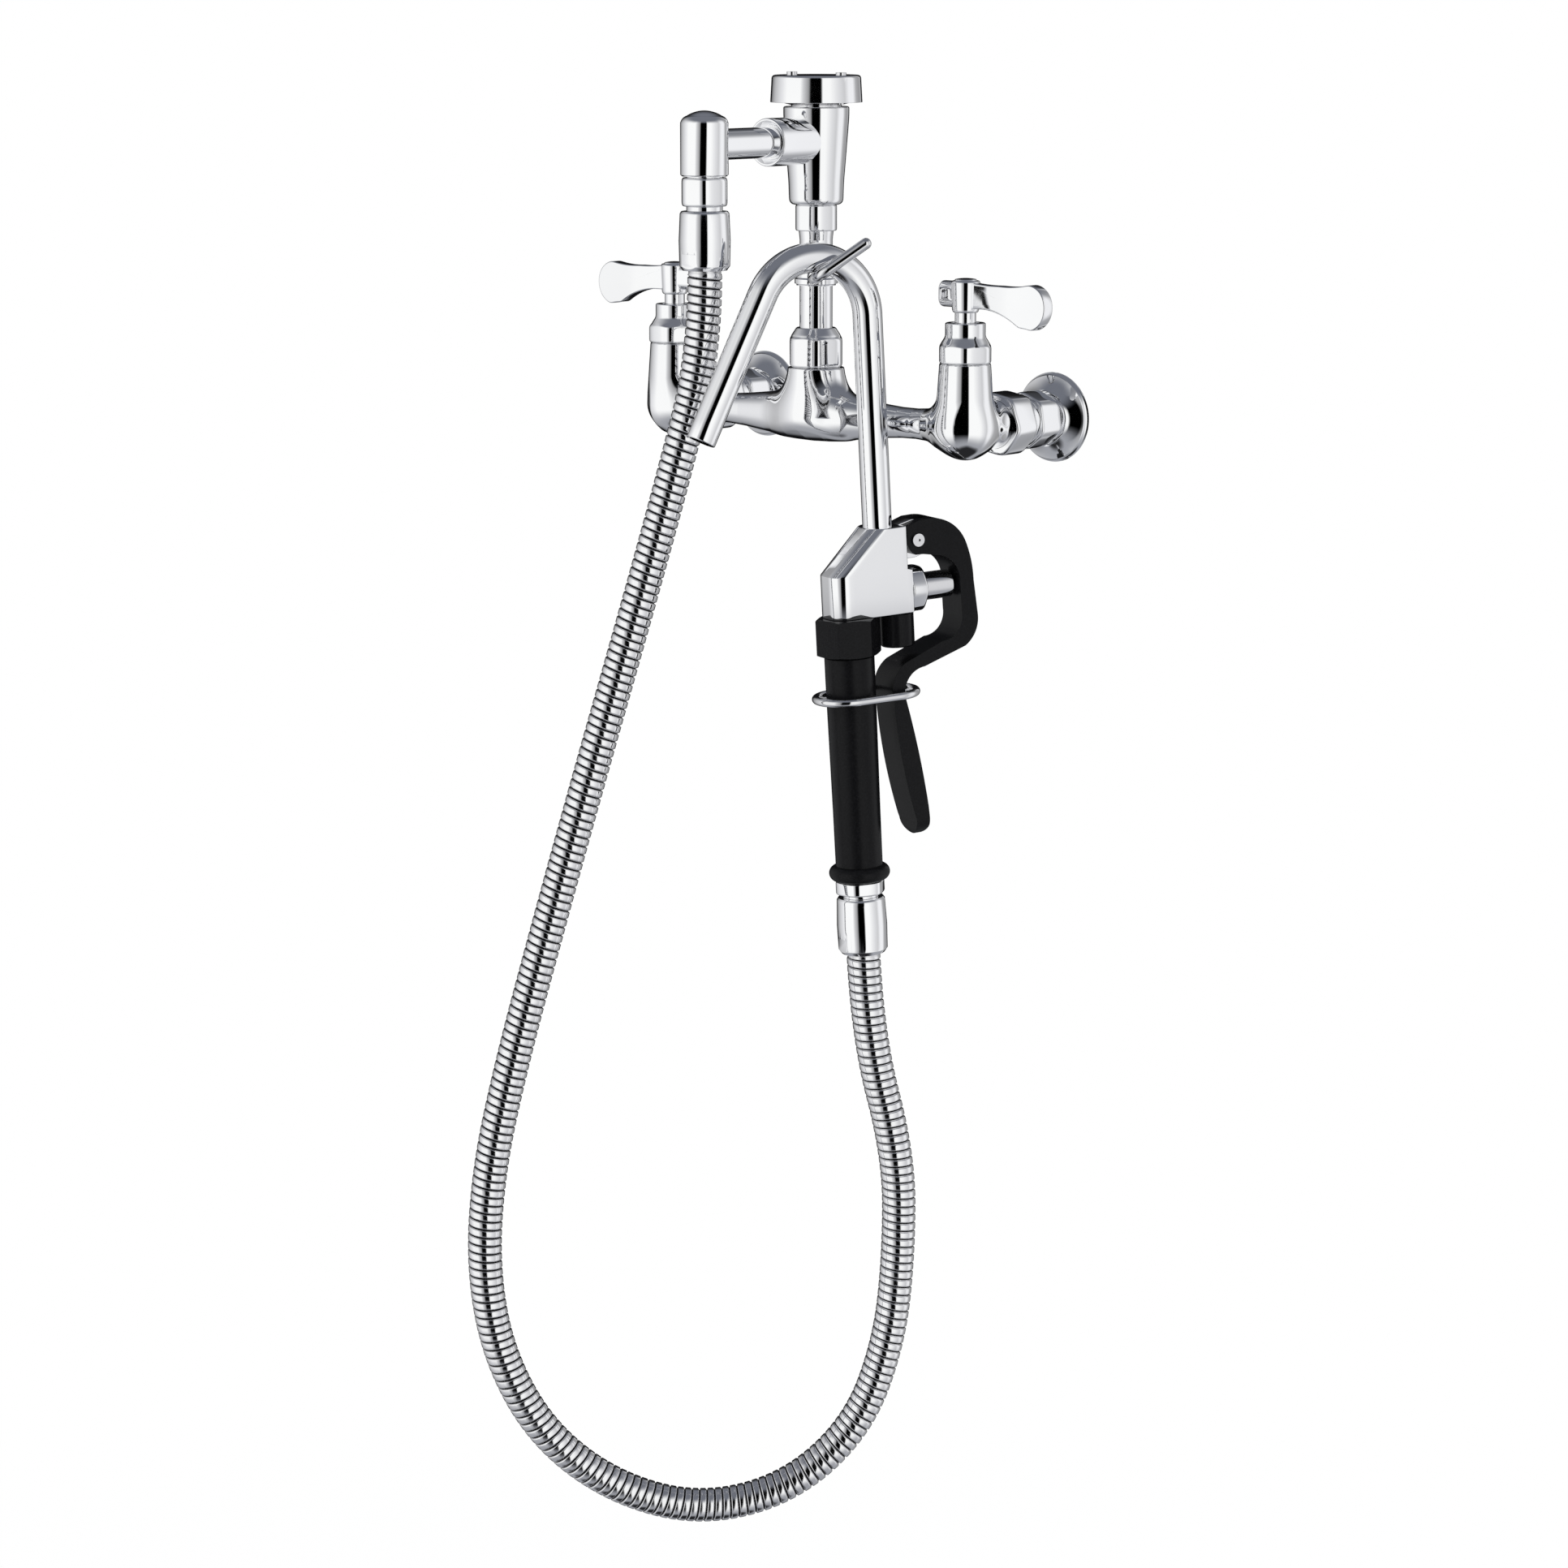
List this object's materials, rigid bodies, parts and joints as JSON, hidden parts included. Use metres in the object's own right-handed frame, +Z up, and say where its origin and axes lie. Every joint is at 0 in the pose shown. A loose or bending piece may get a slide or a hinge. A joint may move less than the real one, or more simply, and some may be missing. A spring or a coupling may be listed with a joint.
{
  "type": "pre rinse faucet",
  "caption": "Wall-mounted kitchen faucet with two lever valves, a vacuum breaker on a riser and a ribbed steel hose to a hooked squeeze-valve filling nozzle.",
  "frame": {"origin": "on the wall, midway between the two supplies and level with their axes", "axes": "+X to the right along the wall, +Y into the wall, +Z up"},
  "size_m": [0.3112, 0.2626, 0.775],
  "materials": {
    "polished_chrome": "polished",
    "bright_steel": "smooth",
    "hose_steel": "satin",
    "bare_brass": "machined",
    "black_grip": "satin",
    "black_nut": "satin",
    "dark_rubber": "matte"
  },
  "bodies": {
    "faucet": {"breaker_body": "polished_chrome", "breaker_cap": "polished_chrome", "breaker_nut": "polished_chrome", "breaker_seat": "dark_rubber", "breaker_top": "polished_chrome", "cap_screws": "bright_steel", "faucet_body": "polished_chrome", "hook_ring": "polished_chrome", "hook_rod": "bright_steel", "hook_screw": "bright_steel", "hose": "hose_steel", "hose_elbow": "polished_chrome", "hose_top_ferrule": "polished_chrome", "hose_top_nut": "polished_chrome", "hose_top_washer": "dark_rubber", "left_bonnet": "polished_chrome", "left_cartridge": "bare_brass", "left_coupling_nut": "polished_chrome", "left_inlet": "polished_chrome", "left_supply_washer": "dark_rubber", "left_wall_flange": "polished_chrome", "outlet_nipple": "polished_chrome", "right_bonnet": "polished_chrome", "right_cartridge": "bare_brass", "right_coupling_nut": "polished_chrome", "right_inlet": "polished_chrome", "right_supply_washer": "dark_rubber", "right_wall_flange": "polished_chrome", "riser_nut": "polished_chrome", "riser_pipe": "polished_chrome", "riser_seal": "dark_rubber"},
    "left_handle": {"left_stem": "polished_chrome", "left_lever": "polished_chrome", "left_lever_cap": "polished_chrome"},
    "right_handle": {"right_stem": "polished_chrome", "right_lever": "polished_chrome", "right_lever_cap": "polished_chrome"},
    "float": {"breaker_float": "dark_rubber"},
    "nozzle": {"nozzle_tube": "polished_chrome", "valve_block": "polished_chrome", "plunger_bonnet": "polished_chrome", "valve_spring": "bright_steel", "lever_pivot_screw": "bright_steel", "lower_plug": "black_nut", "grip_nut": "black_nut", "grip_tube": "bright_steel", "grip_sleeve": "black_grip", "grip_end_ring": "black_grip", "handle_nut": "polished_chrome", "hose_bottom_washer": "dark_rubber", "hose_bottom_ferrule": "polished_chrome"},
    "trigger": {"trigger_lever": "black_grip"},
    "plunger": {"plunger": "bright_steel", "valve_poppet": "bare_brass"},
    "ring": {"hold_ring": "bright_steel"}
  },
  "joints": [
    {"name": "left_handle_turn", "type": "hinge", "parent": "faucet", "child": "left_handle", "pos_m": [-0.1016, -0.075, 0.06], "axis": [0, 0, 1], "range_deg": [0, 90]},
    {"name": "right_handle_turn", "type": "hinge", "parent": "faucet", "child": "right_handle", "pos_m": [0.1016, -0.075, 0.06], "axis": [0, 0, 1], "range_deg": [-90, 0]},
    {"name": "float_lift", "type": "slide", "parent": "faucet", "child": "float", "axis": [0, 0, 1], "range_m": [0, 0.003]},
    {"name": "nozzle_lift", "type": "slide", "parent": "faucet", "child": "nozzle", "axis": [0, 0, 1], "range_m": [0, 0.02], "deforming": ["hose"]},
    {"name": "trigger_squeeze", "type": "hinge", "parent": "nozzle", "child": "trigger", "pos_m": [0.06446, -0.07562, -0.06032], "axis": [-0.9272, 0.3746, 0], "range_deg": [0, 4.3], "stiffness_Nm_per_rad": 6, "springref_deg": -4.58},
    {"name": "plunger_push", "type": "slide", "parent": "nozzle", "child": "plunger", "axis": [-0.374, -0.9257, -0.0558], "range_m": [0, 0.0022], "deforming": ["valve_spring"]},
    {"name": "ring_slide", "type": "slide", "parent": "nozzle", "child": "ring", "axis": [-0.0209, -0.0518, 0.9984], "range_m": [-0.009, 0.003]}
  ],
  "couplings": [
    {"joint": "plunger_push", "follows": "trigger_squeeze", "m_per_rad": 0.0277}
  ]
}
